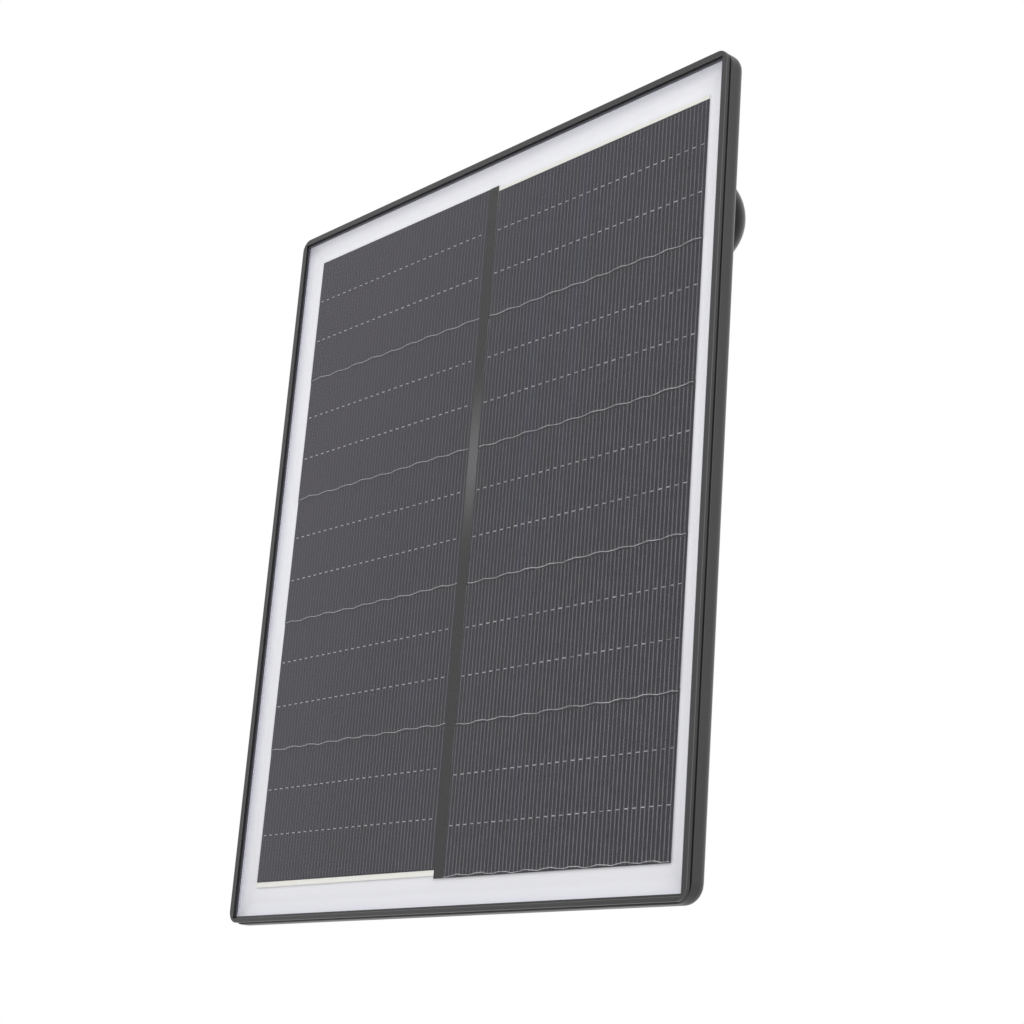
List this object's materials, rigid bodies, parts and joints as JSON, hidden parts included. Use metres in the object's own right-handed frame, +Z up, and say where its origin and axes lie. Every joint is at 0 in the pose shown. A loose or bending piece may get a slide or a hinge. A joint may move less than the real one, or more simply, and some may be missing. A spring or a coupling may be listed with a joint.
{
  "type": "small solar charging panel with swivel bracket",
  "caption": "Slim upright solar charging panel with overlapping cells behind glass in a black frame, on a jointed arm with a ball mount.",
  "frame": {"origin": "centre of the mouth of the threaded socket in the mounting ball", "axes": "+Z up with the panel upright, +Y from the panel back towards whatever the bracket is fixed to, +X to the right of someone facing the glass"},
  "size_m": [0.1624, 0.0858, 0.2097],
  "materials": {
    "frame_plastic": "satin black moulded plastic",
    "housing_plastic": "fine-textured black moulded plastic",
    "cover_plastic": "fine-textured black moulded plastic",
    "bracket_plastic": "smooth black glass-filled nylon",
    "knob_plastic": "black nylon grip",
    "cover_glass": "clear tempered glass",
    "film": "clear bonding film",
    "silicon": "dark blue-black silicon with silver fingers",
    "strip_film": "black insulating film",
    "tinned_ribbon": "tinned copper ribbon",
    "white_sheet": "white backing sheet",
    "foam": "black closed-cell foam",
    "flap_rubber": "black silicone rubber",
    "board_laminate": "green circuit board",
    "chip_epoxy": "black epoxy body",
    "can_aluminium": "aluminium can",
    "steel": "zinc-plated steel",
    "socket_shell": "stamped stainless shell",
    "brass": "turned brass",
    "copper_lead": "tinned copper lead",
    "nylon": "natural nylon",
    "ball_metal": "die-cast zinc, satin"
  },
  "bodies": {
    "mount": {"mounting_ball": "ball_metal", "threaded_bush": "steel"},
    "seat": {"ball_seat": "nylon"},
    "arm": {"arm": "bracket_plastic", "socket_cap": "bracket_plastic"},
    "lock": {"lock_screw": "steel", "lock_grip": "knob_plastic"},
    "turret": {"turret": "bracket_plastic", "pivot_bolt": "steel", "knuckle_washers": "nylon", "knob_washer": "steel"},
    "tilt_knob": {"tilt_knob": "knob_plastic", "tilt_knob_nut": "brass"},
    "panel": {"front_bezel": "frame_plastic", "front_glass": "cover_glass", "bonding_film": "film", "cell_left_1": "silicon", "cell_left_2": "silicon", "cell_left_3": "silicon", "cell_left_4": "silicon", "cell_left_5": "silicon", "cell_right_1": "silicon", "cell_right_2": "silicon", "cell_right_3": "silicon", "cell_right_4": "silicon", "cell_right_5": "silicon", "centre_strip": "strip_film", "link_ribbon": "tinned_ribbon", "ribbon_right_top": "tinned_ribbon", "ribbon_left_bottom": "tinned_ribbon", "backing_sheet": "white_sheet", "foam_seal": "foam", "rear_housing": "housing_plastic", "junction_cover": "cover_plastic", "cover_seal": "foam", "cover_screws": "steel", "charge_board": "board_laminate", "board_screws": "steel", "usb_socket": "socket_shell", "power_coil": "chip_epoxy", "blocking_diode": "chip_epoxy", "regulator_chip": "chip_epoxy", "capacitors": "can_aluminium", "string_leads": "copper_lead", "port_pin": "steel", "hub_insert": "brass", "hub_slip_washer": "nylon", "hub_screw": "steel", "hub_spring_washer": "steel"},
    "port_cover": {"port_cover": "flap_rubber"}
  },
  "joints": [
    {"name": "ball_pan", "type": "hinge", "parent": "mount", "child": "seat", "pos_m": [0, -0.0144, 0], "axis": [0, 0, 1], "range_deg": [-13, 13]},
    {"name": "ball_tilt", "type": "hinge", "parent": "seat", "child": "arm", "pos_m": [0, -0.0144, 0], "axis": [1, 0, 0], "range_deg": [-13, 13]},
    {"name": "arm_tilt", "type": "hinge", "parent": "arm", "child": "turret", "pos_m": [0, -0.0588, -0.1018], "axis": [1, 0, 0], "range_deg": [-20, 60]},
    {"name": "panel_turn", "type": "hinge", "parent": "turret", "child": "panel", "pos_m": [0, -0.0758, -0.1018], "axis": [0, 1, 0], "continuous": true},
    {"name": "tilt_knob_turn", "type": "hinge", "parent": "turret", "child": "tilt_knob", "pos_m": [0, -0.0588, -0.1018], "axis": [1, 0, 0], "range_deg": [-90, 360]},
    {"name": "lock_screw_turn", "type": "hinge", "parent": "arm", "child": "lock", "pos_m": [0, -0.0184, 0], "axis": [1, 0, 0], "range_deg": [-90, 360]},
    {"name": "port_cover_hinge", "type": "hinge", "parent": "panel", "child": "port_cover", "pos_m": [-0.0095, -0.0748, -0.182], "axis": [0, 1, 0], "range_deg": [0, 110]}
  ]
}
